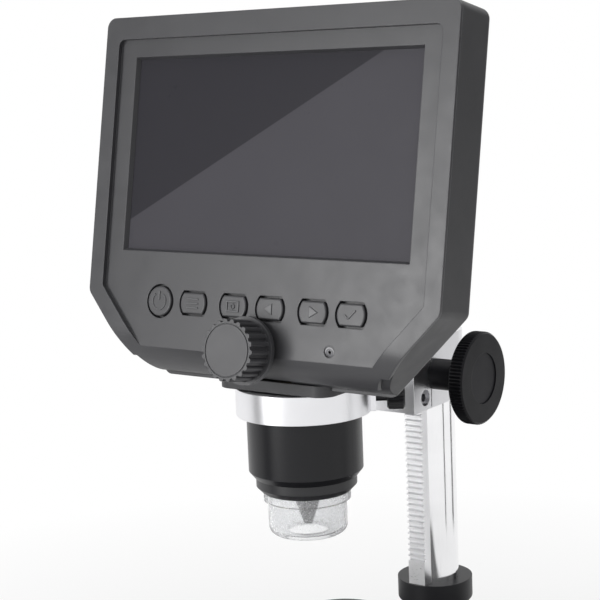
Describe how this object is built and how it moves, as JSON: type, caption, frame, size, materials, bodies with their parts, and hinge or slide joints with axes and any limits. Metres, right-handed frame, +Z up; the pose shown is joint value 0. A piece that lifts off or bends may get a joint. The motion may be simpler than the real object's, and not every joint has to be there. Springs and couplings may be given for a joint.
{
  "type": "lcd digital microscope",
  "caption": "Desk microscope with a tilted screen head, a clear-capped lens barrel in a clamp ring, and a rack column stand with a height knob.",
  "frame": {"origin": "middle of the base underside, on the surface that the stand rests on", "axes": "+X to the right of someone facing the screen, +Y from front to back, +Z up"},
  "size_m": [0.12, 0.15, 0.2153],
  "materials": {
    "black_enamel": "satin black enamel",
    "rubber": "matt rubber",
    "black_aluminium": "black anodised",
    "bright_steel": "polished",
    "satin_aluminium": "satin anodised",
    "black_plastic": "fine moulded grain",
    "case_plastic": "fine moulded grain",
    "screen": "glossy dark glass",
    "tray_steel": "plain sheet",
    "board": "solder mask",
    "cell_foil": "foil wrap",
    "socket_steel": "plain",
    "button_plastic": "moulded",
    "light_pipe": "clear grey",
    "brass": "turned",
    "lens_glass": "coated",
    "lamp_plastic": "lamp",
    "frosted_clear": "frosted clear",
    "white_board": "white solder mask",
    "sensor_black": "glossy",
    "screw_steel": "zinc"
  },
  "bodies": {
    "stand": {"base_plate": "black_enamel", "base_pad": "rubber", "foot_bolt": "screw_steel", "column_foot": "black_aluminium", "column_tube": "bright_steel", "rack_bar": "satin_aluminium", "column_cap": "black_plastic"},
    "carriage": {"carriage_body": "satin_aluminium", "carriage_block": "satin_aluminium", "side_screws": "screw_steel", "pinion_bush": "black_plastic", "clamp_ring": "satin_aluminium", "arm_screws": "screw_steel"},
    "height_drive": {"height_knob": "black_plastic", "knob_disc": "black_plastic", "pinion_shaft": "brass"},
    "ring_screw": {"thumb_screw": "black_aluminium"},
    "head": {"front_bezel": "case_plastic", "rear_cover": "case_plastic", "rear_housing": "case_plastic", "cover_screws": "screw_steel", "screen_glass": "screen", "lcd_panel": "sensor_black", "lcd_frame": "tray_steel", "main_board": "board", "battery": "cell_foil", "usb_socket": "socket_steel", "power_socket": "black_plastic", "card_socket": "socket_steel", "button_board": "board", "tact_switches": "sensor_black", "charge_light": "light_pipe", "focus_bush": "brass", "lens_barrel": "black_aluminium", "nose_ring": "black_plastic", "lamp_board": "white_board", "lamps": "lamp_plastic", "clear_cap": "frosted_clear", "camera_board": "board", "image_sensor": "sensor_black"},
    "focus_drive": {"focus_knob": "black_plastic", "focus_shaft": "brass"},
    "lens_unit": {"focus_rack": "brass", "lens_carrier": "black_aluminium", "lens_nose": "black_aluminium", "front_lens": "lens_glass", "rear_lens": "lens_glass"},
    "power_button_key": {"power_button": "button_plastic"},
    "menu_button_key": {"menu_button": "button_plastic"},
    "mode_button_key": {"mode_button": "button_plastic"},
    "left_button_key": {"left_button": "button_plastic"},
    "right_button_key": {"right_button": "button_plastic"},
    "ok_button_key": {"ok_button": "button_plastic"}
  },
  "joints": [
    {"name": "carriage_lift", "type": "slide", "parent": "stand", "child": "carriage", "axis": [0, 0, 1], "range_m": [-0.045, 0.07]},
    {"name": "height_knob_turn", "type": "hinge", "parent": "carriage", "child": "height_drive", "pos_m": [0.0284, 0.0441, 0.1013], "axis": [1, 0, 0], "range_deg": [-1120, 720]},
    {"name": "ring_screw_turn", "type": "hinge", "parent": "carriage", "child": "ring_screw", "pos_m": [0.01845, -0.00062, 0.104], "axis": [0.8387, 0.5446, 0], "range_deg": [0, 360]},
    {"name": "head_swivel", "type": "hinge", "parent": "carriage", "child": "head", "pos_m": [0, -0.0126, 0.104], "axis": [0, 0, 1], "range_deg": [-40, 40]},
    {"name": "lens_focus", "type": "slide", "parent": "head", "child": "lens_unit", "axis": [0, 0, 1], "range_m": [-0.0005, 0.005]},
    {"name": "focus_knob_turn", "type": "hinge", "parent": "head", "child": "focus_drive", "pos_m": [0, -0.04031, 0.12295], "axis": [0, -0.9816, 0.1908], "range_deg": [-8.2, 80.5]},
    {"name": "power_button_press", "type": "slide", "parent": "head", "child": "power_button_key", "axis": [0, 0.9816, -0.1908], "range_m": [0, 0.0004], "stiffness_N_per_m": 800},
    {"name": "menu_button_press", "type": "slide", "parent": "head", "child": "menu_button_key", "axis": [0, 0.9816, -0.1908], "range_m": [0, 0.0004], "stiffness_N_per_m": 800},
    {"name": "mode_button_press", "type": "slide", "parent": "head", "child": "mode_button_key", "axis": [0, 0.9816, -0.1908], "range_m": [0, 0.0004], "stiffness_N_per_m": 800},
    {"name": "left_button_press", "type": "slide", "parent": "head", "child": "left_button_key", "axis": [0, 0.9816, -0.1908], "range_m": [0, 0.0004], "stiffness_N_per_m": 800},
    {"name": "right_button_press", "type": "slide", "parent": "head", "child": "right_button_key", "axis": [0, 0.9816, -0.1908], "range_m": [0, 0.0004], "stiffness_N_per_m": 800},
    {"name": "ok_button_press", "type": "slide", "parent": "head", "child": "ok_button_key", "axis": [0, 0.9816, -0.1908], "range_m": [0, 0.0004], "stiffness_N_per_m": 800}
  ],
  "couplings": [
    {"joint": "height_knob_turn", "follows": "carriage_lift", "rad_per_m": -277.78},
    {"joint": "focus_knob_turn", "follows": "lens_focus", "rad_per_m": 280.46}
  ]
}
